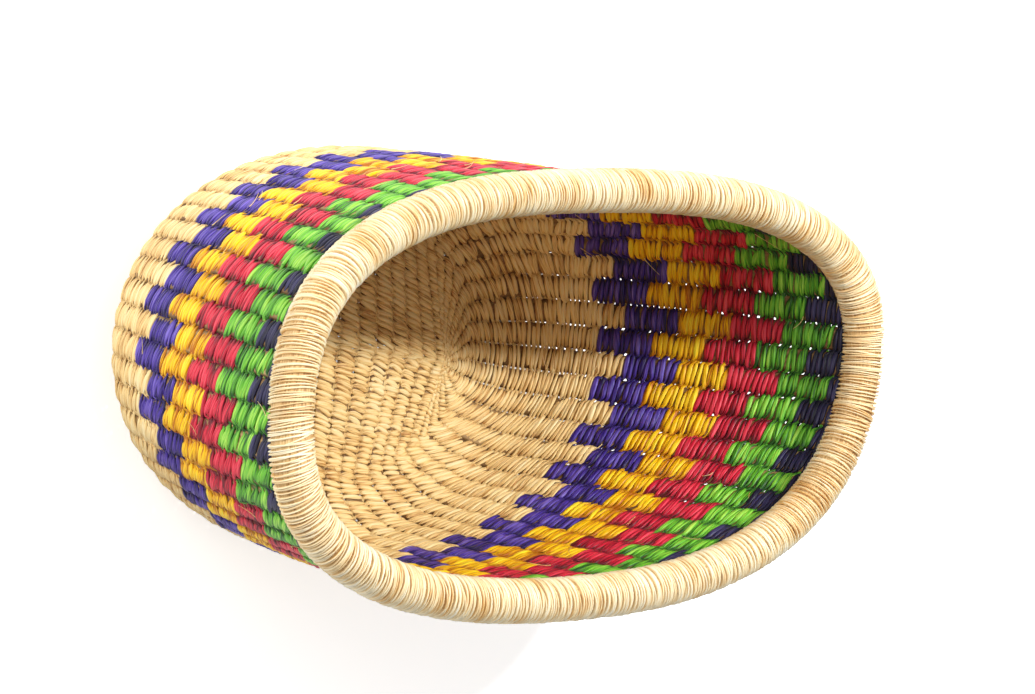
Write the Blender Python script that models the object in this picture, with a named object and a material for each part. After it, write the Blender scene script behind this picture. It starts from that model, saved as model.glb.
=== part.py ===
"""Oval basket twined from straw, with stepped colour bands and a bound rim.

Metres, +Z up. The basket stands on its flat base at z = 0, its mouth faces +Z and its long way runs
along X. The wall is woven from two wefts that twist round 60 stakes. Where two colours meet, each
covers every other column on the outer face and the columns between on the inner face, so the bands
lock into each other with half-thick teeth.
"""
import math

import bpy
import bmesh
from mathutils import Vector

# Rim
RIM_HALF_LENGTH = 0.180
RIM_HALF_WIDTH = 0.0902
RIM_CENTRE_HEIGHT = 0.176
RIM_RADIUS = 0.0091
RIM_END_LIFT = 0.0033
RIM_TILT_LIFT = 0.0050
BINDING_THICKNESS = 0.0012

# Plan of the rim: a near ellipse with the slight unevenness of hand work
RIM_SQUARENESS_SHARE = 2.11
BASE_SQUARENESS_SHARE = 2.02
RIM_WAVE_SHARES = ((3, 0.0, 0.0122), (4, -0.0192, 0.0221))

# Wall
WALL_THICKNESS = 0.0050
END_LEAN_SHARE = 0.313
END_BELLY = 0.0070
SIDE_LEAN_SHARE = 0.008
SIDE_BELLY = 0.0030
CORNER_RADIUS = 0.022
BASE_SIDE_DRIFT = 0.030

# Weave
COLUMNS = 60
NAVY_ROWS = 3
TEETH_ROWS = 5
SOLID_ROWS = 5
NATURAL_ROWS = 9
COLOUR_CHANGES = 5
FIRST_GAP_SHARE = 0.6034
SPACING_WAVE_SHARE = -0.0159
SPACING_LEAN_SHARES = (-0.0045, 0.0021)

# Binding
BINDING_COUNT = 12
BINDING_SIDES = 8
CORNER_STEPS = 4

# Gap between neighbouring pieces
CLEARANCE = 0.0003
PLAN_SAMPLES = 720
PLAN_LEVELS = 5
SLOPE_STEP_SHARE = 0.001

CORE_RADIUS = (RIM_RADIUS - BINDING_THICKNESS) * math.cos(math.pi / BINDING_SIDES) - CLEARANCE
WALL_TOP_RUN = CORE_RADIUS + CLEARANCE
BASE_DROP = RIM_CENTRE_HEIGHT - WALL_THICKNESS / 2
CORNER_RUN = BASE_DROP - CORNER_RADIUS
FLAT_RUN = CORNER_RUN + CORNER_RADIUS * math.pi / 2
WALL_ROWS = NAVY_ROWS + COLOUR_CHANGES * (TEETH_ROWS + SOLID_ROWS) - SOLID_ROWS + NATURAL_ROWS
ROW_PITCH = (CORNER_RUN - WALL_TOP_RUN) / WALL_ROWS
HALF_WALL = WALL_THICKNESS / 2
HALF_GAP = CLEARANCE / 2

STRAW = (0.78, 0.58, 0.30, 1.0)
RIM_STRAW = (0.86, 0.68, 0.38, 1.0)
PURPLE = (0.075, 0.045, 0.28, 1.0)
YELLOW = (0.87, 0.45, 0.015, 1.0)
RED = (0.55, 0.025, 0.07, 1.0)
GREEN = (0.10, 0.34, 0.035, 1.0)
NAVY = (0.035, 0.033, 0.085, 1.0)


def clear_scene():
    for old in list(bpy.data.objects):
        bpy.data.objects.remove(old)


def straw_material(name, colour, roughness):
    material = bpy.data.materials.new(name)
    material.use_nodes = True
    shader = material.node_tree.nodes["Principled BSDF"]
    shader.inputs["Base Color"].default_value = colour
    shader.inputs["Roughness"].default_value = roughness
    shader.inputs["Metallic"].default_value = 0.0
    material.diffuse_color = colour
    return material


def plan_radius(turn, squareness, wave):
    """Radius of the plan outline, as a share of its half axes."""
    cosine, sine = math.cos(turn), math.sin(turn)
    radius = (abs(cosine) ** squareness + abs(sine) ** squareness) ** (-1 / squareness)
    uneven = 0.0
    for lobes, cosine_share, sine_share in RIM_WAVE_SHARES:
        uneven += cosine_share * math.cos(lobes * turn) + sine_share * math.sin(lobes * turn)
    return radius * (1 + wave * uneven)


def middle_point(turn, run):
    """Point on the middle of the wall, run metres down the weave from the rim's centre line."""
    corner_turn = min(max(run - CORNER_RUN, 0) / CORNER_RADIUS, math.pi / 2)
    drop = min(run, CORNER_RUN) + CORNER_RADIUS * math.sin(corner_turn)
    inset = CORNER_RADIUS * (1 - math.cos(corner_turn)) + max(run - FLAT_RUN, 0)
    depth = drop / BASE_DROP
    belly = 4 * depth * (1 - depth)
    half_length = RIM_HALF_LENGTH - END_LEAN_SHARE * drop + END_BELLY * belly - inset
    half_width = RIM_HALF_WIDTH - SIDE_LEAN_SHARE * drop + SIDE_BELLY * belly - inset
    squareness = RIM_SQUARENESS_SHARE + (BASE_SQUARENESS_SHARE - RIM_SQUARENESS_SHARE) * depth
    radius = plan_radius(turn, squareness, 1 - depth)
    lift = (RIM_END_LIFT * math.cos(2 * turn) + RIM_TILT_LIFT * math.cos(turn)) * (1 - depth)
    return Vector((half_length * radius * math.cos(turn),
                   half_width * radius * math.sin(turn) + BASE_SIDE_DRIFT * depth,
                   RIM_CENTRE_HEIGHT - drop + lift))


def outward(turn, run):
    """Unit normal of the wall, away from the inside of the basket."""
    step = SLOPE_STEP_SHARE * RIM_RADIUS
    along = middle_point(turn + SLOPE_STEP_SHARE, run) - middle_point(turn - SLOPE_STEP_SHARE, run)
    down = middle_point(turn, run + step) - middle_point(turn, run - step)
    return down.cross(along).normalized()


def rim_gap_shares():
    """Running length of the rim's centre line against its turn, both as shares of the full round."""
    points = [middle_point(2 * math.pi * i / PLAN_SAMPLES, 0) for i in range(PLAN_SAMPLES + 1)]
    lengths = [0.0]
    for before, after in zip(points, points[1:]):
        lengths.append(lengths[-1] + (after - before).length)
    return lengths


RIM_LENGTHS = rim_gap_shares()
RIM_LENGTH = RIM_LENGTHS[-1]


def turn_at(share):
    """Turn of the point that lies a share of the rim's length round from the +X end."""
    whole = math.floor(share)
    target = (share - whole) * RIM_LENGTH
    low, high = 0, PLAN_SAMPLES
    while high - low > 1:
        middle = (low + high) // 2
        if RIM_LENGTHS[middle] <= target:
            low = middle
        else:
            high = middle
    part = (target - RIM_LENGTHS[low]) / (RIM_LENGTHS[high] - RIM_LENGTHS[low])
    return 2 * math.pi * (whole + (low + part) / PLAN_SAMPLES)


def gap_turn(column, run=0.0, side=0):
    """Turn of the gap before a column, moved by half the clearance into it (1) or away (-1)."""
    share = FIRST_GAP_SHARE - column / COLUMNS
    cosine_share, sine_share = SPACING_LEAN_SHARES
    whole_turn = 2 * math.pi * share
    share += SPACING_WAVE_SHARE * math.sin(2 * whole_turn)
    share += cosine_share * math.cos(whole_turn) + sine_share * math.sin(whole_turn)
    corner_turn = min(max(run - CORNER_RUN, 0) / CORNER_RADIUS, math.pi / 2)
    drawn_in = END_LEAN_SHARE * run + CORNER_RADIUS * (1 - math.cos(corner_turn))
    shrink = 1 - drawn_in / (RIM_HALF_LENGTH + RIM_HALF_WIDTH)
    return turn_at(share - side * HALF_GAP / (RIM_LENGTH * shrink))


def plan_centre():
    """Middle of the basket's outline seen from above, so that the basket is centred on the origin."""
    reach = []
    for i in range(PLAN_SAMPLES):
        turn = 2 * math.pi * i / PLAN_SAMPLES
        rim = middle_point(turn, 0)
        side = outward(turn, 0)
        side.z = 0
        reach.append(rim + side.normalized() * RIM_RADIUS)
        for level in range(1, PLAN_LEVELS):
            run = CORNER_RUN * level / PLAN_LEVELS
            reach.append(middle_point(turn, run) + outward(turn, run) * HALF_WALL)
    low_x, high_x = min(p.x for p in reach), max(p.x for p in reach)
    low_y, high_y = min(p.y for p in reach), max(p.y for p in reach)
    return Vector(((low_x + high_x) / 2, (low_y + high_y) / 2, 0))


CENTRE = plan_centre()


def wall_point(turn, run, out):
    """Point out metres outside the middle of the wall, in the basket's own frame."""
    return middle_point(turn, run) + outward(turn, run) * out - CENTRE


def finish(name, mesh_or_curve, material, collection):
    item = bpy.data.objects.new(name, mesh_or_curve)
    item.data.materials.append(material)
    collection.objects.link(item)
    return item


class Weave:
    """Closed solid of one weft colour: a ring round the basket with teeth above and below."""

    def __init__(self, outer_parity_above, outer_parity_below):
        self.mesh = bmesh.new()
        self.parity = {"above": outer_parity_above, "below": outer_parity_below}

    def corner(self, column, run, out, side):
        turn = gap_turn(column, run, side)
        return self.mesh.verts.new(wall_point(turn, run, out))

    def plain_ring(self, run):
        """One vertex on each face of the wall at every gap between columns."""
        ring = []
        for column in range(COLUMNS):
            outer = self.corner(column, run, HALF_WALL, 0)
            inner = self.corner(column, run, -HALF_WALL, 0)
            ring.append((outer, None, None, inner))
        return ring

    def stepped_ring(self, run, where):
        """Four vertices at every gap, so that each column carries one tooth half the wall thick."""
        ring = []
        for column in range(COLUMNS):
            side = 1 if column % 2 == self.parity[where] else -1
            outer = self.corner(column, run, HALF_WALL, side)
            outer_middle = self.corner(column, run, HALF_GAP, side)
            inner_middle = self.corner(column, run, -HALF_GAP, -side)
            inner = self.corner(column, run, -HALF_WALL, -side)
            ring.append((outer, outer_middle, inner_middle, inner))
        return ring

    def skins(self, upper, lower):
        """Outer and inner faces between two rings."""
        for column in range(COLUMNS):
            after = (column + 1) % COLUMNS
            for skin in (0, 3):
                self.mesh.faces.new((upper[column][skin], upper[after][skin],
                                     lower[after][skin], lower[column][skin]))

    def plain_edge(self, ring):
        for column in range(COLUMNS):
            after = (column + 1) % COLUMNS
            self.mesh.faces.new((ring[column][0], ring[after][0], ring[after][3], ring[column][3]))

    def tooth(self, root, column, tip_run, outs, sides):
        """Box over its root's four vertices, up or down the wall to tip_run."""
        places = ((column, outs[0], sides[0]), (column + 1, outs[0], sides[1]),
                  (column + 1, outs[1], sides[1]), (column, outs[1], sides[0]))
        tip = [self.corner(gap, tip_run, out, side) for gap, out, side in places]
        for i in range(4):
            following = (i + 1) % 4
            self.mesh.faces.new((root[i], root[following], tip[following], tip[i]))
        self.mesh.faces.new(tip)

    def stepped_edge(self, ring, where, tip_run):
        """Teeth and the seats between them: outer teeth on one parity of columns, inner on the other."""
        for column in range(COLUMNS):
            after = (column + 1) % COLUMNS
            here, there = ring[column], ring[after]
            if column % 2 == self.parity[where]:
                root = (here[0], there[0], there[1], here[1])
                self.tooth(root, column, tip_run, (HALF_WALL, HALF_GAP), (1, -1))
                seat = (here[3], here[2], here[1], there[1], there[2], there[3])
            else:
                root = (here[2], there[2], there[3], here[3])
                self.tooth(root, column, tip_run, (-HALF_GAP, -HALF_WALL), (1, -1))
                seat = (here[0], there[0], there[1], there[2], here[2], here[1])
            self.mesh.faces.new(seat)

    def build(self, name, material, collection):
        bmesh.ops.recalc_face_normals(self.mesh, faces=self.mesh.faces)
        data = bpy.data.meshes.new(name)
        self.mesh.to_mesh(data)
        self.mesh.free()
        return finish(name, data, material, collection)


def row_run(row):
    return WALL_TOP_RUN + row * ROW_PITCH


def colour_band(name, order, material, collection):
    """A band with teeth above and below; order 0 is the navy one under the rim."""
    solid_top = NAVY_ROWS + order * (TEETH_ROWS + SOLID_ROWS) - SOLID_ROWS
    weave = Weave(0, 1)
    if order == 0:
        upper = weave.plain_ring(row_run(0))
        weave.plain_edge(upper)
    else:
        upper = weave.stepped_ring(row_run(solid_top), "above")
        weave.stepped_edge(upper, "above", row_run(solid_top - TEETH_ROWS) + CLEARANCE)
    solid_end = solid_top + SOLID_ROWS
    lower = weave.stepped_ring(row_run(solid_end), "below")
    weave.skins(upper, lower)
    weave.stepped_edge(lower, "below", row_run(solid_end + TEETH_ROWS) - CLEARANCE)
    return weave.build(name, material, collection)


def natural_band(name, order, material, collection):
    """Lowest wall rows, down to where the rounded corner starts."""
    solid_top = NAVY_ROWS + order * (TEETH_ROWS + SOLID_ROWS) - SOLID_ROWS
    weave = Weave(0, 1)
    upper = weave.stepped_ring(row_run(solid_top), "above")
    weave.stepped_edge(upper, "above", row_run(solid_top - TEETH_ROWS) + CLEARANCE)
    lower = weave.plain_ring(CORNER_RUN)
    weave.skins(upper, lower)
    weave.plain_edge(lower)
    return weave.build(name, material, collection)


def corner_band(name, material, collection):
    """Rows round the rounded corner, down to where the base lies flat."""
    weave = Weave(0, 1)
    first = CORNER_RUN + CLEARANCE
    upper = weave.plain_ring(first)
    weave.plain_edge(upper)
    for step in range(CORNER_STEPS):
        lower = weave.plain_ring(first + (FLAT_RUN - first) * (step + 1) / CORNER_STEPS)
        weave.skins(upper, lower)
        upper = lower
    weave.plain_edge(upper)
    return weave.build(name, material, collection)


def base_weave(name, material, collection):
    """Flat oval base, a filled outline just inside the corner."""
    outline = bpy.data.curves.new(name, "CURVE")
    outline.dimensions = "2D"
    outline.fill_mode = "BOTH"
    outline.extrude = HALF_WALL
    spline = outline.splines.new("POLY")
    spline.points.add(COLUMNS - 1)
    for column in range(COLUMNS):
        place = wall_point(gap_turn(column, FLAT_RUN), FLAT_RUN + CLEARANCE, 0)
        spline.points[column].co = (place.x, place.y, 0, 1)
    spline.use_cyclic_u = True
    base = finish(name, outline, material, collection)
    base.location.z = HALF_WALL
    return base


def rim_core(name, material, collection):
    """Bundle of stake ends laid along the rim."""
    ring = bpy.data.curves.new(name, "CURVE")
    ring.dimensions = "3D"
    ring.bevel_depth = CORE_RADIUS
    ring.bevel_resolution = 2
    ring.twist_mode = "Z_UP"
    spline = ring.splines.new("POLY")
    spline.points.add(COLUMNS - 1)
    for column in range(COLUMNS):
        place = wall_point(gap_turn(column), 0, 0)
        spline.points[column].co = (place.x, place.y, place.z, 1)
    spline.use_cyclic_u = True
    return finish(name, ring, material, collection)


def binding(name, first_column, columns, material, collection):
    """One straw length wound round the core, open below where the wall comes in."""
    slot = math.asin((HALF_WALL + CLEARANCE) / (RIM_RADIUS - BINDING_THICKNESS))
    mesh = bmesh.new()
    sections = []
    for station in range(columns + 1):
        side = {0: 1, columns: -1}.get(station, 0)
        turn = gap_turn(first_column + station, 0.0, side)
        centre = wall_point(turn, 0, 0)
        out = outward(turn, 0)
        down = (wall_point(turn, CORE_RADIUS, 0) - centre).normalized()
        angles = [slot + (2 * math.pi - 2 * slot) * i / BINDING_SIDES for i in range(BINDING_SIDES + 1)]
        spokes = [down * math.cos(angle) + out * math.sin(angle) for angle in angles]
        section = [mesh.verts.new(centre + spoke * RIM_RADIUS) for spoke in spokes]
        for spoke in reversed(spokes):
            section.append(mesh.verts.new(centre + spoke * (RIM_RADIUS - BINDING_THICKNESS)))
        sections.append(section)
    count = len(sections[0])
    for here, there in zip(sections, sections[1:]):
        for i in range(count):
            following = (i + 1) % count
            mesh.faces.new((here[i], there[i], there[following], here[following]))
    for section in (sections[0], sections[-1]):
        for i in range(BINDING_SIDES):
            mesh.faces.new((section[i], section[i + 1], section[count - 2 - i], section[count - 1 - i]))
    bmesh.ops.recalc_face_normals(mesh, faces=mesh.faces)
    data = bpy.data.meshes.new(name)
    mesh.to_mesh(data)
    mesh.free()
    return finish(name, data, material, collection)


def build_basket():
    clear_scene()
    collection = bpy.data.collections.new("oval_twined_basket")
    bpy.context.scene.collection.children.link(collection)
    straw = straw_material("natural_straw", STRAW, 0.55)
    rim_straw = straw_material("rim_straw", RIM_STRAW, 0.45)
    bands = (("navy_band", NAVY), ("green_band", GREEN), ("red_band", RED),
             ("yellow_band", YELLOW), ("purple_band", PURPLE))
    for order, (name, colour) in enumerate(bands):
        colour_band(name, order, straw_material(name.replace("band", "straw"), colour, 0.5), collection)
    natural_band("natural_band", len(bands), straw, collection)
    corner_band("corner_band", straw, collection)
    base_weave("base_weave", straw, collection)
    rim_core("rim_core", straw, collection)
    share = COLUMNS // BINDING_COUNT
    for i in range(BINDING_COUNT):
        binding("rim_wrap_%02d" % (i + 1), i * share, share, rim_straw, collection)


build_basket()
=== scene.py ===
import math

import bpy
import numpy as np
from mathutils import Matrix, Vector


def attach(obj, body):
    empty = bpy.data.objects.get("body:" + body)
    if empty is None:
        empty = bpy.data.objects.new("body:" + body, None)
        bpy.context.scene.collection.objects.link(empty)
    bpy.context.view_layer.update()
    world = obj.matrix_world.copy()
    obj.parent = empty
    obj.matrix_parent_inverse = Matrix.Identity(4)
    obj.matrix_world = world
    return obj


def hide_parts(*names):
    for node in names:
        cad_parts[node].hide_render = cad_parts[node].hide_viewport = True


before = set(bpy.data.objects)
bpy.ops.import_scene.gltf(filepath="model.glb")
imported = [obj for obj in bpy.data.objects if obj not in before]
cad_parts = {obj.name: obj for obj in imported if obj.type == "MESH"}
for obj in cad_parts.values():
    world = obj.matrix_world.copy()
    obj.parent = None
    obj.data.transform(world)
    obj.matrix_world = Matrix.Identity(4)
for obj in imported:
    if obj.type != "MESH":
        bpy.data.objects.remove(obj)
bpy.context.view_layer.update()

# The basket's own shape, in metres, as in the part's source
RIM_HALF_LENGTH = 0.180
RIM_HALF_WIDTH = 0.0902
RIM_CENTRE_HEIGHT = 0.176
RIM_RADIUS = 0.0091
RIM_END_LIFT = 0.0033
RIM_TILT_LIFT = 0.0050
BINDING_THICKNESS = 0.0012
RIM_SQUARENESS_SHARE = 2.11
BASE_SQUARENESS_SHARE = 2.02
RIM_WAVE_SHARES = ((3, 0.0, 0.0122), (4, -0.0192, 0.0221))
WALL_THICKNESS = 0.0050
END_LEAN_SHARE = 0.313
END_BELLY = 0.0070
SIDE_LEAN_SHARE = 0.008
SIDE_BELLY = 0.0030
CORNER_RADIUS = 0.022
BASE_SIDE_DRIFT = 0.030
COLUMNS = 60
NAVY_ROWS = 3
TEETH_ROWS = 5
SOLID_ROWS = 5
NATURAL_ROWS = 9
COLOUR_CHANGES = 5
FIRST_GAP_SHARE = 0.6034
SPACING_WAVE_SHARE = -0.0159
SPACING_LEAN_SHARES = (-0.0045, 0.0021)
BINDING_COUNT = 12
BINDING_SIDES = 8
CLEARANCE = 0.0003
PLAN_SAMPLES = 720
PLAN_LEVELS = 5

HALF_WALL = WALL_THICKNESS / 2
BASE_DROP = RIM_CENTRE_HEIGHT - HALF_WALL
CORNER_RUN = BASE_DROP - CORNER_RADIUS
FLAT_RUN = CORNER_RUN + CORNER_RADIUS * math.pi / 2
CORE_RADIUS = (RIM_RADIUS - BINDING_THICKNESS) * math.cos(math.pi / BINDING_SIDES) - CLEARANCE
WALL_TOP_RUN = CORE_RADIUS + CLEARANCE
WALL_ROWS = NAVY_ROWS + COLOUR_CHANGES * (TEETH_ROWS + SOLID_ROWS) - SOLID_ROWS + NATURAL_ROWS
ROW_PITCH = (CORNER_RUN - WALL_TOP_RUN) / WALL_ROWS

# Spine of the base and the rows that run round it
SPINE_HALF_LENGTH = 0.086
SPINE_TURN = math.radians(-13.5)
SPINE_MIDDLE = (0.0, 0.0312)
SPINE_SPREAD = 1.22
TIP_ROW = WALL_ROWS - NATURAL_ROWS
SIDE_ROWS = 47
END_ROWS = 43
FILL_LENGTH = 0.078
CORNER_START_ROW = TIP_ROW + 8
BASE_START_ROW = TIP_ROW + 26
LAST_ROW_SHARE = 0.996
TAPER_END_SHARE = 1.006
TAPER_RATE = 60
THINNEST_SHARE = 0.25

# Wefts: steps are path points in a column, and leans are rows gained across a column, by place
STEPS_PER_COLUMN = 8
BASE_STEPS_PER_COLUMN = 6
BASE_SIDES = 6
SLANT_ROWS = 1.3
BASE_SLANT_ROWS = 0.90
LEAN_COLUMNS = (3, 9, 15, 32, 36, 47)
LEAN_ROWS = (-2.8, -0.1, 2.4, 1.6, -1.0, -1.6)
WEFT_HALF_WIDTH_SHARE = 0.59
WEFT_TIP_SHARE = 0.34
WEFT_FLATNESS = 0.54
WEFT_LIFT = 0.00115
WEFT_SIDES = 7
WIDEST_PITCHES = 1.5
STROKE_STRAIGHTNESS = 0.96
CROSSING_SHARE = 0.09
TIGHT_COLUMN = 0.006
ROW_WANDER = 0.06
ROW_SPREAD = 0.05
CROSSING_SPREAD = 0.075
SLANT_SPREAD = 0.25
LIFT_SPREAD = 0.10
WIDTH_SPREAD = 0.11
COLUMN_LENGTH = 0.0145

# Stakes and loose fibres
STAKE_WIDTH_SHARE = 0.458
STAKE_FLATNESS = 0.16
STRAY_COUNT = 110
STRAY_START_HEIGHT = 0.0017
STRAY_HALF_WIDTH = 0.00026

# Rim binding
TURNS_PER_LENGTH = 62
STRAW_HALF_WIDTH = 0.00118
STRAW_HALF_DEPTH = 0.00034
TURN_TILT = math.radians(3)
TURN_SWAY = math.radians(8)
CORE_SLACK = 0.0008

# Floor and light
FLOOR_REACH = 6.0
FLOOR_TONE = 0.93
FLOOR_GLOW = 0.58
SKY_STRENGTH = 0.44
LAMPS = (("overhead_key", (0.30, 0.67, 2.18), 0.22, 51.0),
         ("left_fill", (-1.75, 1.05, 0.70), 1.10, 22.0))

# Camera, matched to the photograph
PICTURE_WIDTH, PICTURE_HEIGHT = 1035, 694
FOCAL_PIXELS = 4569.5
CAMERA_TURNS = (0.03673, 0.79729, 0.09641)
CAMERA_SHIFT = (0.03123, -0.01902)
CAMERA_DISTANCE = 1.98753
SENSOR_WIDTH = 36.0

rng = np.random.default_rng(7)


def plan_radius(turn, squareness, wave):
    """Distance from the middle to the outline seen from above, as a share, at each turn."""
    cosine, sine = np.cos(turn), np.sin(turn)
    radius = (np.abs(cosine) ** squareness + np.abs(sine) ** squareness) ** (-1 / squareness)
    uneven = 0.0
    for lobes, cosine_share, sine_share in RIM_WAVE_SHARES:
        uneven = uneven + cosine_share * np.cos(lobes * turn) + sine_share * np.sin(lobes * turn)
    return radius * (1 + wave * uneven)


def middle_point(turn, run):
    """Middle of the wall at each turn, run metres down the weave from the rim's centre line."""
    corner_turn = np.clip((run - CORNER_RUN) / CORNER_RADIUS, 0, math.pi / 2)
    drop = np.minimum(run, CORNER_RUN) + CORNER_RADIUS * np.sin(corner_turn)
    inset = CORNER_RADIUS * (1 - np.cos(corner_turn)) + np.maximum(run - FLAT_RUN, 0)
    depth = drop / BASE_DROP
    belly = 4 * depth * (1 - depth)
    half_length = RIM_HALF_LENGTH - END_LEAN_SHARE * drop + END_BELLY * belly - inset
    half_width = RIM_HALF_WIDTH - SIDE_LEAN_SHARE * drop + SIDE_BELLY * belly - inset
    squareness = RIM_SQUARENESS_SHARE + (BASE_SQUARENESS_SHARE - RIM_SQUARENESS_SHARE) * depth
    radius = plan_radius(turn, squareness, 1 - depth)
    lift = (RIM_END_LIFT * np.cos(2 * turn) + RIM_TILT_LIFT * np.cos(turn)) * (1 - depth)
    return np.stack([half_length * radius * np.cos(turn),
                     half_width * radius * np.sin(turn) + BASE_SIDE_DRIFT * depth,
                     RIM_CENTRE_HEIGHT - drop + lift], -1)


def outward(turn, run):
    """Direction straight out of the wall."""
    along = middle_point(turn + 0.001, run) - middle_point(turn - 0.001, run)
    down = middle_point(turn, run + 0.00001) - middle_point(turn, run - 0.00001)
    normal = np.cross(down, along)
    return normal / np.linalg.norm(normal, axis=-1, keepdims=True)


SAMPLE_TURNS = np.linspace(0, 2 * math.pi, PLAN_SAMPLES + 1)
RIM_LINE = middle_point(SAMPLE_TURNS, np.zeros(PLAN_SAMPLES + 1))
RIM_LENGTHS = np.concatenate([[0], np.cumsum(np.linalg.norm(np.diff(RIM_LINE, axis=0), axis=1))])
RIM_LENGTH = RIM_LENGTHS[-1]


def gap_turn(column):
    """Turn at each place counted in columns, whole numbers being the gaps between them."""
    share = FIRST_GAP_SHARE - column / COLUMNS
    cosine_share, sine_share = SPACING_LEAN_SHARES
    whole_turn = 2 * math.pi * share
    share = (share + SPACING_WAVE_SHARE * np.sin(2 * whole_turn)
             + cosine_share * np.cos(whole_turn) + sine_share * np.sin(whole_turn))
    whole = np.floor(share)
    return 2 * math.pi * whole + np.interp(share - whole, RIM_LENGTHS / RIM_LENGTH, SAMPLE_TURNS)


def plan_centre():
    """Middle of the basket's outline seen from above, which is the frame's origin."""
    turns = SAMPLE_TURNS[:-1]
    none = np.zeros_like(turns)
    side = outward(turns, none)
    side[:, 2] = 0
    side /= np.linalg.norm(side, axis=1)[:, None]
    reach = [middle_point(turns, none) + side * RIM_RADIUS]
    for level in range(1, PLAN_LEVELS):
        run = none + CORNER_RUN * level / PLAN_LEVELS
        reach.append(middle_point(turns, run) + outward(turns, run) * HALF_WALL)
    reach = np.vstack(reach)
    middle = (reach.min(0) + reach.max(0)) / 2
    return np.array([middle[0], middle[1], 0.0])


CENTRE = plan_centre()
SPINE_ALONG = np.array([math.cos(SPINE_TURN), math.sin(SPINE_TURN), 0.0])
SPINE_POINT = np.array([SPINE_MIDDLE[0], SPINE_MIDDLE[1], HALF_WALL])


def row_run(row):
    """Metres from the rim's centre line down to the top of a wall row."""
    return WALL_TOP_RUN + row * ROW_PITCH


def spine_foot(column):
    """Where each column meets the wall's foot and the spine, and how many natural rows lie on its way.

    Beside the spine a few more rows fill the sides; they end at the spine's two ends.
    """
    turn = gap_turn(column)
    flat = middle_point(turn, np.full(turn.shape, FLAT_RUN))
    reach = (flat - SPINE_POINT) @ SPINE_ALONG * SPINE_SPREAD
    reach = np.clip(reach, -SPINE_HALF_LENGTH, SPINE_HALF_LENGTH)
    beside = np.clip((SPINE_HALF_LENGTH - np.abs(reach)) / FILL_LENGTH, 0, 1)
    rows = END_ROWS + (SIDE_ROWS - END_ROWS) * beside * beside * (3 - 2 * beside)
    return turn, flat, SPINE_POINT + reach[..., None] * SPINE_ALONG, rows


def weave_place(column, row):
    """Point on the middle of the weave, its outward normal, and the local distance between rows."""
    column, row = np.broadcast_arrays(column, row)
    turn, flat, foot, rows = spine_foot(column)
    flat_length = np.linalg.norm(foot - flat, axis=-1)
    tip_run = row_run(TIP_ROW)
    low_length = FLAT_RUN - tip_run + flat_length
    low = np.minimum((row - TIP_ROW) / rows, LAST_ROW_SHARE)
    run = np.where(row < TIP_ROW, row_run(row), tip_run + low_length * low)
    taper = np.clip((TAPER_END_SHARE - low) * TAPER_RATE, THINNEST_SHARE, 1)
    pitch = np.where(row < TIP_ROW, ROW_PITCH, low_length / rows * taper)
    wall_run = np.minimum(run, FLAT_RUN)
    place = middle_point(turn, wall_run)
    normal = outward(turn, wall_run)
    on_base = np.clip((run - FLAT_RUN) / flat_length, 0, 1)[..., None]
    place = place + (foot - place) * on_base
    normal = np.where(on_base > 0, np.array([0.0, 0.0, -1.0]), normal)
    return place - CENTRE, normal, pitch


def column_width(column, row):
    """Width of the weave from one gap to the next."""
    before = weave_place(column - 0.5, row)[0]
    after = weave_place(column + 0.5, row)[0]
    return np.linalg.norm(after - before, axis=-1)


# How straw is coloured: fibres and twist to the metre, the step between straws, patches, tone stops
FIBRE_RATE = 55.0
TWIST_RATE = 110.0
STRAND_STEP = 61.0
PATCH_SCALE = 38.0
SHADE_STOP, BODY_STOP, LIGHT_STOP = 0.22, 0.47, 0.80
STRAW_GLOSS = 0.38
DYED_ROUGHNESS = 0.42
NATURAL_ROUGHNESS = 0.46
STRAY_ROUGHNESS = 0.45
RIM_ROUGHNESS = 0.38
DULL_ROUGHNESS = 0.6
BUMP_STRENGTH = 0.7
BUMP_DEPTH = 0.0006

# Colours of the straw: shade, body and light, as linear values
NAVY = ((0.003, 0.003, 0.014), (0.014, 0.012, 0.052), (0.060, 0.055, 0.150))
GREEN = ((0.010, 0.075, 0.006), (0.130, 0.480, 0.026), (0.470, 0.780, 0.110))
RED = ((0.105, 0.002, 0.010), (0.620, 0.007, 0.035), (0.900, 0.090, 0.130))
YELLOW = ((0.460, 0.130, 0.000), (0.990, 0.560, 0.001), (1.000, 0.830, 0.040))
PURPLE = ((0.010, 0.003, 0.060), (0.055, 0.023, 0.300), (0.220, 0.150, 0.600))
NATURAL = ((0.450, 0.200, 0.044), (0.930, 0.665, 0.280), (1.000, 0.885, 0.550))
RIM_TONE = ((0.780, 0.490, 0.185), (0.980, 0.810, 0.500), (1.000, 0.945, 0.760))
# Stakes: straw made darker than its own colour, to paint the shade in the gaps between wefts
STAKE_TONE_AND_GAP_SHADE = ((0.140, 0.070, 0.024), (0.270, 0.155, 0.060), (0.440, 0.290, 0.125))
# Rim core: straw toned darker than the binding, as painted shade in the grooves between turns
CORE_TONE = ((0.380, 0.210, 0.080), (0.620, 0.420, 0.190), (0.800, 0.620, 0.350))


def named_value(tree, name):
    """A straw's own value, kept on its points, for its material."""
    node = tree.nodes.new("ShaderNodeAttribute")
    node.attribute_name = name
    return node.outputs["Fac"]


def reckoned(tree, operation, first, second):
    """Result of one sum in the tree, on two sockets or numbers."""
    node = tree.nodes.new("ShaderNodeMath")
    node.operation = operation
    for socket, value in zip(node.inputs, (first, second)):
        if isinstance(value, (int, float)):
            socket.default_value = value
        else:
            tree.links.new(value, socket)
    return node.outputs[0]


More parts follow.
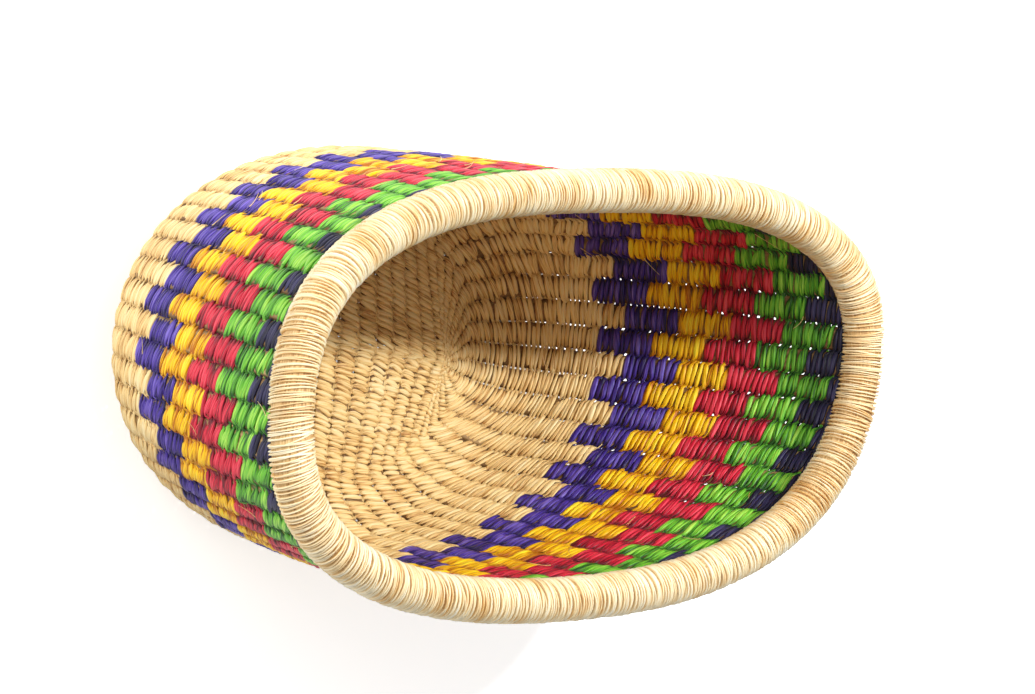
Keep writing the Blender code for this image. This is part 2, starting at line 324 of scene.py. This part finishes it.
def straw_material(name, tones, roughness, streaks=4.5, patchy=0.30, single=0.30, lines=1.3, edge_shade=0.14,
                   ends=0.30):
    """Straw: fine fibres of three tones, each length a little different, with painted shade on its sides
    and ends.

    Streaks is the number of fibres across a straw, and lines their contrast. Patchy and single set how
    far patches of the weave and single straws differ. Edge and ends set how much painted shade darkens
    a straw's sides and tips, where it runs into the gaps between straws and behind the stakes.
    """
    material = bpy.data.materials.new(name)
    material.use_nodes = True
    tree = material.node_tree
    shader = tree.nodes["Principled BSDF"]
    strand = named_value(tree, "strand")
    place = tree.nodes.new("ShaderNodeCombineXYZ")
    twist = reckoned(tree, "MULTIPLY", named_value(tree, "along"), TWIST_RATE)
    across = reckoned(tree, "MULTIPLY", named_value(tree, "around"), streaks)
    tree.links.new(reckoned(tree, "ADD", across, twist), place.inputs[0])
    tree.links.new(reckoned(tree, "MULTIPLY", named_value(tree, "along"), FIBRE_RATE), place.inputs[1])
    tree.links.new(reckoned(tree, "MULTIPLY", strand, STRAND_STEP), place.inputs[2])
    fibres = tree.nodes.new("ShaderNodeTexNoise")
    fibres.inputs["Scale"].default_value = 1.0
    fibres.inputs["Detail"].default_value = 3.0
    fibres.inputs["Roughness"].default_value = 0.6
    tree.links.new(place.outputs[0], fibres.inputs["Vector"])
    where = tree.nodes.new("ShaderNodeTexCoord")
    patches = tree.nodes.new("ShaderNodeTexNoise")
    patches.inputs["Scale"].default_value = PATCH_SCALE
    patches.inputs["Detail"].default_value = 2.0
    tree.links.new(where.outputs["Object"], patches.inputs["Vector"])
    own = reckoned(tree, "MULTIPLY", reckoned(tree, "SUBTRACT", strand, 0.5), single)
    patch = reckoned(tree, "MULTIPLY", reckoned(tree, "SUBTRACT", patches.outputs["Fac"], 0.5), patchy)
    fine = reckoned(tree, "ADD", reckoned(tree, "MULTIPLY", fibres.outputs["Fac"], lines), 0.5 - lines / 2)
    # Painted shade: the straw is darker towards its sides and at its ends, where it passes behind a stake,
    # standing in for shade between straws
    from_crown = reckoned(tree, "SUBTRACT", named_value(tree, "around"), 0.5)
    off_crown = reckoned(tree, "MULTIPLY", reckoned(tree, "ABSOLUTE", from_crown, 0.0), 2.0)
    low = reckoned(tree, "MULTIPLY", reckoned(tree, "POWER", off_crown, 3.0), edge_shade)
    painted_shade = reckoned(tree, "ADD", low, reckoned(tree, "MULTIPLY", named_value(tree, "ends"), ends))
    light = reckoned(tree, "ADD", reckoned(tree, "ADD", fine, own), patch)
    tone = reckoned(tree, "SUBTRACT", light, painted_shade)
    ramp = tree.nodes.new("ShaderNodeValToRGB")
    stops = ramp.color_ramp.elements
    stops[0].position = SHADE_STOP
    stops[0].color = (*tones[0], 1)
    stops[1].position = LIGHT_STOP
    stops[1].color = (*tones[2], 1)
    body = stops.new(BODY_STOP)
    body.color = (*tones[1], 1)
    tree.links.new(tone, ramp.inputs["Fac"])
    tree.links.new(ramp.outputs["Color"], shader.inputs["Base Color"])
    rough = tree.nodes.new("ShaderNodeMapRange")
    rough.inputs["To Min"].default_value = roughness + 0.16
    rough.inputs["To Max"].default_value = roughness - 0.10
    tree.links.new(fibres.outputs["Fac"], rough.inputs["Value"])
    tree.links.new(rough.outputs["Result"], shader.inputs["Roughness"])
    shader.inputs["Specular IOR Level"].default_value = STRAW_GLOSS
    bump = tree.nodes.new("ShaderNodeBump")
    bump.inputs["Strength"].default_value = BUMP_STRENGTH
    bump.inputs["Distance"].default_value = BUMP_DEPTH
    tree.links.new(fibres.outputs["Fac"], bump.inputs["Height"])
    tree.links.new(bump.outputs["Normal"], shader.inputs["Normal"])
    return material


def new_tree(name, inputs):
    """A geometry tree with a mesh in and out and the named inputs."""
    tree = bpy.data.node_groups.new(name, "GeometryNodeTree")
    tree.interface.new_socket("Geometry", in_out="OUTPUT", socket_type="NodeSocketGeometry")
    tree.interface.new_socket("Geometry", in_out="INPUT", socket_type="NodeSocketGeometry")
    for label, kind, value in inputs:
        socket = tree.interface.new_socket(label, in_out="INPUT", socket_type=kind)
        if value is not None:
            socket.default_value = value
    start = tree.nodes.new("NodeGroupInput")
    end = tree.nodes.new("NodeGroupOutput")
    return tree, start, end


def read_attribute(tree, name, kind):
    """A value that the path points carry into the tree."""
    node = tree.nodes.new("GeometryNodeInputNamedAttribute")
    node.data_type = kind
    node.inputs["Name"].default_value = name
    return node.outputs["Attribute"]


def keep_attribute(tree, geometry, name, value):
    """The geometry with a value kept on its points, for the material."""
    node = tree.nodes.new("GeometryNodeStoreNamedAttribute")
    node.data_type = "FLOAT"
    node.domain = "POINT"
    node.inputs["Name"].default_value = name
    tree.links.new(geometry, node.inputs["Geometry"])
    tree.links.new(value, node.inputs["Value"])
    return node.outputs["Geometry"]


def straw_section(tree, sides, half_depth, half_width):
    """Cross-section of a straw, with the share of the way round it kept on its points."""
    circle = tree.nodes.new("GeometryNodeCurvePrimitiveCircle")
    circle.inputs["Radius"].default_value = 1.0
    tree.links.new(sides, circle.inputs["Resolution"])
    size = tree.nodes.new("ShaderNodeCombineXYZ")
    for socket, value in zip(size.inputs, (half_depth, half_width, 1.0)):
        if isinstance(value, float):
            socket.default_value = value
        else:
            tree.links.new(value, socket)
    shape = tree.nodes.new("GeometryNodeTransform")
    tree.links.new(circle.outputs["Curve"], shape.inputs["Geometry"])
    tree.links.new(size.outputs[0], shape.inputs["Scale"])
    factor = tree.nodes.new("GeometryNodeSplineParameter").outputs["Factor"]
    quarter_on = reckoned(tree, "FRACT", reckoned(tree, "ADD", factor, 0.25), 0.0)
    doubled = reckoned(tree, "MULTIPLY", quarter_on, 2.0)
    around = reckoned(tree, "ABSOLUTE", reckoned(tree, "SUBTRACT", doubled, 1.0), 0.0)
    return keep_attribute(tree, shape.outputs["Geometry"], "around", around)


def close_tree(tree, start, end, geometry):
    """Real faces, smooth shading and the material, as the last steps of every tree."""
    real = tree.nodes.new("GeometryNodeRealizeInstances")
    smooth = tree.nodes.new("GeometryNodeSetShadeSmooth")
    paint = tree.nodes.new("GeometryNodeSetMaterial")
    tree.links.new(geometry, real.inputs["Geometry"])
    tree.links.new(real.outputs["Geometry"], smooth.inputs["Geometry"])
    tree.links.new(smooth.outputs["Geometry"], paint.inputs["Geometry"])
    tree.links.new(start.outputs["Material"], paint.inputs["Material"])
    tree.links.new(paint.outputs["Geometry"], end.inputs["Geometry"])


def weft_tree():
    """Straws swept along the paths in the mesh, as wide as each path point says."""
    tree, start, end = new_tree("sweep_straws", (
        ("Sides", "NodeSocketInt", WEFT_SIDES),
        ("Flatness", "NodeSocketFloat", WEFT_FLATNESS),
        ("Material", "NodeSocketMaterial", None)))
    path = tree.nodes.new("GeometryNodeMeshToCurve")
    facing = tree.nodes.new("GeometryNodeSetCurveNormal")
    facing.mode = "FREE"
    sweep = tree.nodes.new("GeometryNodeCurveToMesh")
    sweep.inputs["Fill Caps"].default_value = True
    tree.links.new(start.outputs["Geometry"], path.inputs["Mesh"])
    tree.links.new(path.outputs["Curve"], facing.inputs["Curve"])
    tree.links.new(read_attribute(tree, "facing", "FLOAT_VECTOR"), facing.inputs["Normal"])
    tree.links.new(facing.outputs["Curve"], sweep.inputs["Curve"])
    section = straw_section(tree, start.outputs["Sides"], start.outputs["Flatness"], 1.0)
    tree.links.new(section, sweep.inputs["Profile Curve"])
    tree.links.new(read_attribute(tree, "half_width", "FLOAT"), sweep.inputs["Scale"])
    close_tree(tree, start, end, sweep.outputs["Mesh"])
    return tree


def turn_tree():
    """One turn of binding straw, set on every point of the rim's path."""
    tree, start, end = new_tree("wind_turns", (
        ("Turn radius", "NodeSocketFloat", RIM_RADIUS - STRAW_HALF_DEPTH),
        ("Steps", "NodeSocketInt", 22),
        ("Sides", "NodeSocketInt", 5),
        ("Half depth", "NodeSocketFloat", STRAW_HALF_DEPTH),
        ("Half width", "NodeSocketFloat", STRAW_HALF_WIDTH),
        ("Material", "NodeSocketMaterial", None)))
    ring = tree.nodes.new("GeometryNodeCurvePrimitiveCircle")
    tree.links.new(start.outputs["Steps"], ring.inputs["Resolution"])
    tree.links.new(start.outputs["Turn radius"], ring.inputs["Radius"])
    length = tree.nodes.new("GeometryNodeSplineParameter").outputs["Length"]
    line = keep_attribute(tree, ring.outputs["Curve"], "along", length)
    section = straw_section(tree, start.outputs["Sides"], start.outputs["Half width"],
                            start.outputs["Half depth"])
    sweep = tree.nodes.new("GeometryNodeCurveToMesh")
    tree.links.new(line, sweep.inputs["Curve"])
    tree.links.new(section, sweep.inputs["Profile Curve"])
    place = tree.nodes.new("GeometryNodeInstanceOnPoints")
    tree.links.new(start.outputs["Geometry"], place.inputs["Points"])
    tree.links.new(sweep.outputs["Mesh"], place.inputs["Instance"])
    tree.links.new(read_attribute(tree, "lie", "QUATERNION"), place.inputs["Rotation"])
    tree.links.new(read_attribute(tree, "swell", "FLOAT_VECTOR"), place.inputs["Scale"])
    close_tree(tree, start, end, place.outputs["Instances"])
    return tree


def path_mesh(name, points, edges, values):
    """A mesh of path points, with the named values that a tree reads."""
    mesh = bpy.data.meshes.new(name)
    mesh.from_pydata([tuple(p) for p in points], edges, [])
    for label, kind, data in values:
        attribute = mesh.attributes.new(label, kind, "POINT")
        field = {"FLOAT": "value", "FLOAT_VECTOR": "vector", "QUATERNION": "value"}[kind]
        attribute.data.foreach_set(field, np.ascontiguousarray(data, dtype=np.float32).ravel())
    return mesh


def grown(name, mesh, tree, settings):
    """The tree's result on the mesh, as a plain mesh object."""
    guide = bpy.data.objects.new(name + "_path", mesh)
    bpy.context.scene.collection.objects.link(guide)
    modifier = guide.modifiers.new("grow", "NODES")
    modifier.node_group = tree
    for item in tree.interface.items_tree:
        if item.item_type == "SOCKET" and item.in_out == "INPUT" and item.name in settings:
            modifier[item.identifier] = settings[item.name]
    bpy.context.view_layer.update()
    solid = guide.evaluated_get(bpy.context.evaluated_depsgraph_get())
    data = bpy.data.meshes.new_from_object(solid)
    data.name = name
    bpy.data.objects.remove(guide)
    piece = bpy.data.objects.new(name, data)
    bpy.context.scene.collection.objects.link(piece)
    return piece


# The two trees, which the pieces share
SWEEP = weft_tree()
WIND = turn_tree()


def fill_lean(column, row):
    """Rows that a straw gains across a column where the sides hold more rows than the ends."""
    gained = spine_foot(column + 0.5)[3] - spine_foot(column - 0.5)[3]
    return gained * np.clip((row - TIP_ROW) / spine_foot(column)[3], 0, 1)


def saw(within):
    """Rises evenly across a column and drops back behind the crossing."""
    top = 0.5 - CROSSING_SHARE
    return np.interp(within, (0, CROSSING_SHARE, 1 - CROSSING_SHARE, 1), (0, -top, top, 0))


def weft_paths(rows, steps):
    """Paths of single wefts: rows holds (row, strand) pairs. Strand 0 is outside on even columns."""
    points, edges, facing, width, along, strand, ends = [], [], [], [], [], [], []
    count = COLUMNS * steps
    column = (np.arange(count) + 0.5) / steps
    for row, which in rows:
        offset = len(points) * count
        wander = rng.normal(0, ROW_SPREAD)
        wander = wander + ROW_WANDER * np.sin(column / COLUMNS * 2 * math.pi + rng.uniform(0, 6.28))
        own = rng.normal(0, 1, COLUMNS)
        own_step = np.repeat(own, steps)
        shifts = rng.normal(0, CROSSING_SPREAD, COLUMNS)
        shift = np.interp(column, np.arange(COLUMNS + 1), np.append(shifts, shifts[0]))
        swing = math.pi * (column + shift + which)
        upright = 1 - min(max((row - TIP_ROW) / NATURAL_ROWS, 0), 1)
        slant = BASE_SLANT_ROWS + (SLANT_ROWS - BASE_SLANT_ROWS) * upright
        slant = slant + SLANT_SPREAD * np.roll(own_step, 3 * steps)
        straight = np.arcsin(STROKE_STRAIGHTNESS * np.cos(swing)) / math.asin(STROKE_STRAIGHTNESS)
        within = (column + shift) % 1.0
        lean = np.interp(column, LEAN_COLUMNS, LEAN_ROWS, period=COLUMNS) * upright
        lean = (lean + fill_lean(column, row)) * saw(within)
        level = row + 0.5 + wander + slant / 2 * straight + lean
        place, normal, pitch = weave_place(column, np.maximum(level, 0.05))
        span = column_width(column, np.full(count, row + 0.5))
        side = np.sin(swing)
        crest = np.abs(side)
        lift = WEFT_LIFT * np.sign(side) * crest ** 0.5 * np.clip(span / TIGHT_COLUMN, 0.05, 1)
        place = place + normal * (lift * (1 + LIFT_SPREAD * own_step))[:, None]
        share = WEFT_TIP_SHARE + (WEFT_HALF_WIDTH_SHARE - WEFT_TIP_SHARE) * crest ** 0.75
        half = np.minimum(pitch, ROW_PITCH * WIDEST_PITCHES) * share
        half = half * (1 + WIDTH_SPREAD * np.roll(own_step, 7 * steps))
        points.append(place)
        facing.append(normal)
        width.append(half)
        # Painted shade: this value is largest where the weft dives behind a stake, and darkens its colour
        # there
        ends.append((1 - crest) ** 1.5)
        along.append(np.arange(count) / steps * COLUMN_LENGTH)
        strand.append(np.repeat(rng.uniform(0, 1, COLUMNS), steps))
        ring = np.arange(count)
        edges.extend(zip((ring + offset).tolist(), (np.roll(ring, -1) + offset).tolist()))
    return (np.vstack(points), edges,
            (("facing", "FLOAT_VECTOR", np.vstack(facing)), ("half_width", "FLOAT", np.concatenate(width)),
             ("along", "FLOAT", np.concatenate(along)), ("strand", "FLOAT", np.concatenate(strand)),
             ("ends", "FLOAT", np.concatenate(ends))))


def weft_piece(name, rows, material, node, steps=STEPS_PER_COLUMN, sides=WEFT_SIDES):
    """One piece of wefts in one colour, in place of the solid band that stands in for them."""
    points, edges, values = weft_paths(rows, steps)
    piece = grown(name, path_mesh(name, points, edges, values), SWEEP,
                  {"Sides": sides, "Flatness": WEFT_FLATNESS, "Material": material})
    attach(piece, "root")
    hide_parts(node)
    return piece


def weave_wefts():
    """All wefts, one piece for each colour, and the natural ones in three pieces."""
    names = ("navy", "green", "red", "yellow", "purple")
    tones = (NAVY, GREEN, RED, YELLOW, PURPLE)
    rows = {name: [] for name in names}
    rows["natural"] = []
    order = names + ("natural",)
    level = NAVY_ROWS
    rows["navy"] += [(row, which) for row in range(NAVY_ROWS) for which in (0, 1)]
    for upper, lower in zip(order, order[1:]):
        for row in range(level, level + TEETH_ROWS):
            rows[lower].append((row, 0))
            rows[upper].append((row, 1))
        level += TEETH_ROWS
        if lower != "natural":
            rows[lower] += [(row, which) for row in range(level, level + SOLID_ROWS) for which in (0, 1)]
            level += SOLID_ROWS
    for name, tone in zip(names, tones):
        # Dyed wefts take the default painted shade along their sides and at their crossings
        material = straw_material(name + "_weft_straw", tone, DYED_ROUGHNESS)
        weft_piece(name + "_wefts", rows[name], material, name + "_band")
    # Natural wefts take a lighter painted shade along their sides and at their crossings
    natural = straw_material("natural_weft_straw", NATURAL, NATURAL_ROUGHNESS, single=0.17, lines=1.0,
                             edge_shade=0.05, ends=0.12)
    upper_rows = rows["natural"] + [(row, k) for row in range(TIP_ROW, CORNER_START_ROW) for k in (0, 1)]
    weft_piece("natural_wefts_wall", upper_rows, natural, "natural_band")
    corner_rows = [(row, k) for row in range(CORNER_START_ROW, BASE_START_ROW) for k in (0, 1)]
    weft_piece("natural_wefts_corner", corner_rows, natural, "corner_band",
               BASE_STEPS_PER_COLUMN)
    base_rows = [(row, k) for row in range(BASE_START_ROW, TIP_ROW + SIDE_ROWS) for k in (0, 1)]
    weft_piece("natural_wefts_base", base_rows, natural, "base_weave",
               BASE_STEPS_PER_COLUMN, BASE_SIDES)


def stakes():
    """Straw bundles inside the wefts, from the rim to the base's spine, darkened as painted shade in the
    gaps.
    """
    upper_rows = np.linspace(-0.5, TIP_ROW, 26)
    points, edges, facing, width, along, strand = [], [], [], [], [], []
    for stake in range(COLUMNS):
        last = float(spine_foot(np.array(stake + 0.5))[3]) * 0.97
        rows = np.concatenate([upper_rows, TIP_ROW + np.linspace(0.03, 1, 34) * last])
        place, normal, _ = weave_place(np.full(len(rows), stake + 0.5), rows)
        span = column_width(np.full(len(rows), stake + 0.5), rows)
        start = len(points) * len(rows)
        points.append(place)
        facing.append(normal)
        width.append(span * STAKE_WIDTH_SHARE)
        along.append(rows * ROW_PITCH)
        strand.append(np.full(len(rows), rng.uniform()))
        edges += [(start + i, start + i + 1) for i in range(len(rows) - 1)]
    values = (("facing", "FLOAT_VECTOR", np.vstack(facing)), ("half_width", "FLOAT", np.concatenate(width)),
              ("along", "FLOAT", np.concatenate(along)), ("strand", "FLOAT", np.concatenate(strand)))
    material = straw_material("stake_straw_and_gap_shade", STAKE_TONE_AND_GAP_SHADE, DULL_ROUGHNESS)
    piece = grown("stakes", path_mesh("stakes", np.vstack(points), edges, values), SWEEP,
                  {"Sides": 8, "Flatness": STAKE_FLATNESS, "Material": material})
    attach(piece, "root")


def rim_core():
    """Bundle of stake ends laid along the rim, toned darker than the binding as painted shade between
    turns.
    """
    count = 4 * COLUMNS
    column = np.arange(count) / 4
    turn = gap_turn(column)
    place = middle_point(turn, np.zeros(count)) - CENTRE
    normal = outward(turn, np.zeros(count))
    ring = np.arange(count)
    edges = list(zip(ring.tolist(), np.roll(ring, -1).tolist()))
    values = (("facing", "FLOAT_VECTOR", normal),
              ("half_width", "FLOAT", np.full(count, RIM_RADIUS - CORE_SLACK)),
              ("along", "FLOAT", column * COLUMN_LENGTH), ("strand", "FLOAT", np.full(count, 0.3)))
    material = straw_material("rim_core_straw", CORE_TONE, DULL_ROUGHNESS, streaks=30.0)
    piece = grown("rim_bundle", path_mesh("rim_bundle", place, edges, values), SWEEP,
                  {"Sides": 20, "Flatness": 1.0, "Material": material})
    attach(piece, "root")
    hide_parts("rim_core")


def rim_binding():
    """Twelve lengths of straw wound side by side round the rim."""
    # The binding's turns take painted shade along their sides, in the grooves between turns
    material = straw_material("rim_binding_straw", RIM_TONE, RIM_ROUGHNESS, streaks=3.0, patchy=0.8,
                              single=0.22, lines=1.0, edge_shade=0.24)
    columns = COLUMNS // BINDING_COUNT
    for length in range(BINDING_COUNT):
        column = length * columns + (np.arange(TURNS_PER_LENGTH) + 0.5) / TURNS_PER_LENGTH * columns
        column = column + rng.normal(0, 0.012, TURNS_PER_LENGTH)
        turn = gap_turn(column)
        none = np.zeros(TURNS_PER_LENGTH)
        place = middle_point(turn, none) - CENTRE
        ahead = middle_point(gap_turn(column + 0.05), none) - middle_point(gap_turn(column - 0.05), none)
        out = outward(turn, none)
        lies, swells = [], []
        for i in range(TURNS_PER_LENGTH):
            along = Vector(ahead[i]).normalized()
            side = Vector(out[i])
            side = (side - along * side.dot(along)).normalized()
            up = along.cross(side)
            lie = Matrix((side, up, along)).transposed()
            tilt = Matrix.Rotation(TURN_TILT + rng.normal(0, 0.035), 3, "X")
            sway = Matrix.Rotation(TURN_SWAY + rng.normal(0, 0.060), 3, "Y")
            lies.append(tuple((lie @ tilt @ sway).to_quaternion()))
            swell = 1 + rng.normal(0, 0.010)
            swells.append((swell, swell, float(np.clip(rng.normal(1.0, 0.15), 0.7, 1.4))))
        values = (("lie", "QUATERNION", lies), ("swell", "FLOAT_VECTOR", swells),
                  ("strand", "FLOAT", rng.uniform(0, 1, TURNS_PER_LENGTH)))
        name = "rim_turns_%02d" % (length + 1)
        piece = grown(name, path_mesh(name, place, [], values), WIND, {"Material": material})
        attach(piece, "root")
        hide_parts("rim_wrap_%02d" % (length + 1))


def stray_fibres():
    """Loose ends of straw that stand off both faces of the wall, and off the inside of the base."""
    points, edges, facing, width, along, strand = [], [], [], [], [], []
    steps = np.linspace(0, 1, 6)
    for fibre in range(STRAY_COUNT):
        column, row = rng.uniform(0, COLUMNS), rng.uniform(2, TIP_ROW + 30)
        reach, drop = rng.uniform(0.25, 0.8), rng.uniform(-3, 3)
        face = -1 if row > CORNER_START_ROW + 4 else rng.choice((-1, 1))
        place, normal, _ = weave_place(column + reach * steps, row + drop * steps ** 1.5)
        height = STRAY_START_HEIGHT + rng.uniform(0.0004, 0.0022) * steps ** 2
        points.append(place + normal * (face * height)[:, None])
        facing.append(normal)
        width.append(STRAY_HALF_WIDTH * (1 - 0.6 * steps))
        along.append(steps * 0.01)
        strand.append(np.full(len(steps), rng.uniform()))
        edges += [(fibre * len(steps) + i, fibre * len(steps) + i + 1) for i in range(len(steps) - 1)]
    values = (("facing", "FLOAT_VECTOR", np.vstack(facing)), ("half_width", "FLOAT", np.concatenate(width)),
              ("along", "FLOAT", np.concatenate(along)), ("strand", "FLOAT", np.concatenate(strand)))
    material = straw_material("stray_straw", NATURAL, STRAY_ROUGHNESS)
    piece = grown("stray_fibres", path_mesh("stray_fibres", np.vstack(points), edges, values), SWEEP,
                  {"Sides": 5, "Flatness": 0.7, "Material": material})
    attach(piece, "root")


def floor_and_light():
    """Plain pale floor, a key lamp over the mouth, a softer one at the left end and an even sky."""
    data = bpy.data.meshes.new("studio_floor")
    corners = [(x * FLOOR_REACH, y * FLOOR_REACH, 0) for x, y in ((-1, -1), (1, -1), (1, 1), (-1, 1))]
    data.from_pydata(corners, [], [(0, 1, 2, 3)])
    floor = bpy.data.objects.new("studio_floor", data)
    bpy.context.scene.collection.objects.link(floor)
    material = bpy.data.materials.new("studio_floor")
    material.use_nodes = True
    tree = material.node_tree
    shader = tree.nodes["Principled BSDF"]
    shader.inputs["Base Color"].default_value = (FLOOR_TONE, FLOOR_TONE, FLOOR_TONE, 1)
    shader.inputs["Roughness"].default_value = 0.9
    shader.inputs["Specular IOR Level"].default_value = 0.1
    ray = tree.nodes.new("ShaderNodeLightPath")
    glow = reckoned(tree, "MULTIPLY", ray.outputs["Is Camera Ray"], FLOOR_GLOW)
    shader.inputs["Emission Color"].default_value = (1, 1, 1, 1)
    tree.links.new(glow, shader.inputs["Emission Strength"])
    data.materials.append(material)
    for name, place, size, energy in LAMPS:
        lamp_data = bpy.data.lights.new(name, "AREA")
        lamp_data.shape = "DISK"
        lamp_data.size = size
        lamp_data.energy = energy
        lamp = bpy.data.objects.new(name, lamp_data)
        lamp.location = place
        aim = Vector((0, 0, 0.05)) - lamp.location
        lamp.rotation_euler = aim.to_track_quat("-Z", "Y").to_euler()
        bpy.context.scene.collection.objects.link(lamp)
    world = bpy.data.worlds.new("even_sky")
    world.use_nodes = True
    nodes, links = world.node_tree.nodes, world.node_tree.links
    sky = nodes["Background"]
    sky.inputs["Color"].default_value = (1, 1, 1, 1)
    path = nodes.new("ShaderNodeLightPath")
    level = nodes.new("ShaderNodeMapRange")
    level.inputs["To Min"].default_value = SKY_STRENGTH
    level.inputs["To Max"].default_value = 1.0
    links.new(path.outputs["Is Camera Ray"], level.inputs["Value"])
    links.new(level.outputs["Result"], sky.inputs["Strength"])
    bpy.context.scene.world = world


def camera():
    """Camera at the photograph's place, turned with it."""
    around_x, around_y, around_z = CAMERA_TURNS
    turn = (Matrix.Rotation(around_z, 3, "Z") @ Matrix.Rotation(around_x, 3, "X")
            @ Matrix.Rotation(around_y, 3, "Y"))
    away = Vector((-CAMERA_SHIFT[0], -CAMERA_SHIFT[1], CAMERA_DISTANCE))
    spot = turn.transposed() @ away + Vector((0, 0, RIM_CENTRE_HEIGHT)) - Vector(CENTRE)
    data = bpy.data.cameras.new("photo_camera")
    data.sensor_width = SENSOR_WIDTH
    data.lens = SENSOR_WIDTH * FOCAL_PIXELS / PICTURE_WIDTH
    view = bpy.data.objects.new("photo_camera", data)
    view.matrix_world = Matrix.Translation(spot) @ turn.transposed().to_4x4()
    scene = bpy.context.scene
    scene.collection.objects.link(view)
    scene.camera = view
    scene.view_settings.view_transform = "Standard"


weave_wefts()
stakes()
rim_core()
rim_binding()
stray_fibres()
floor_and_light()
camera()
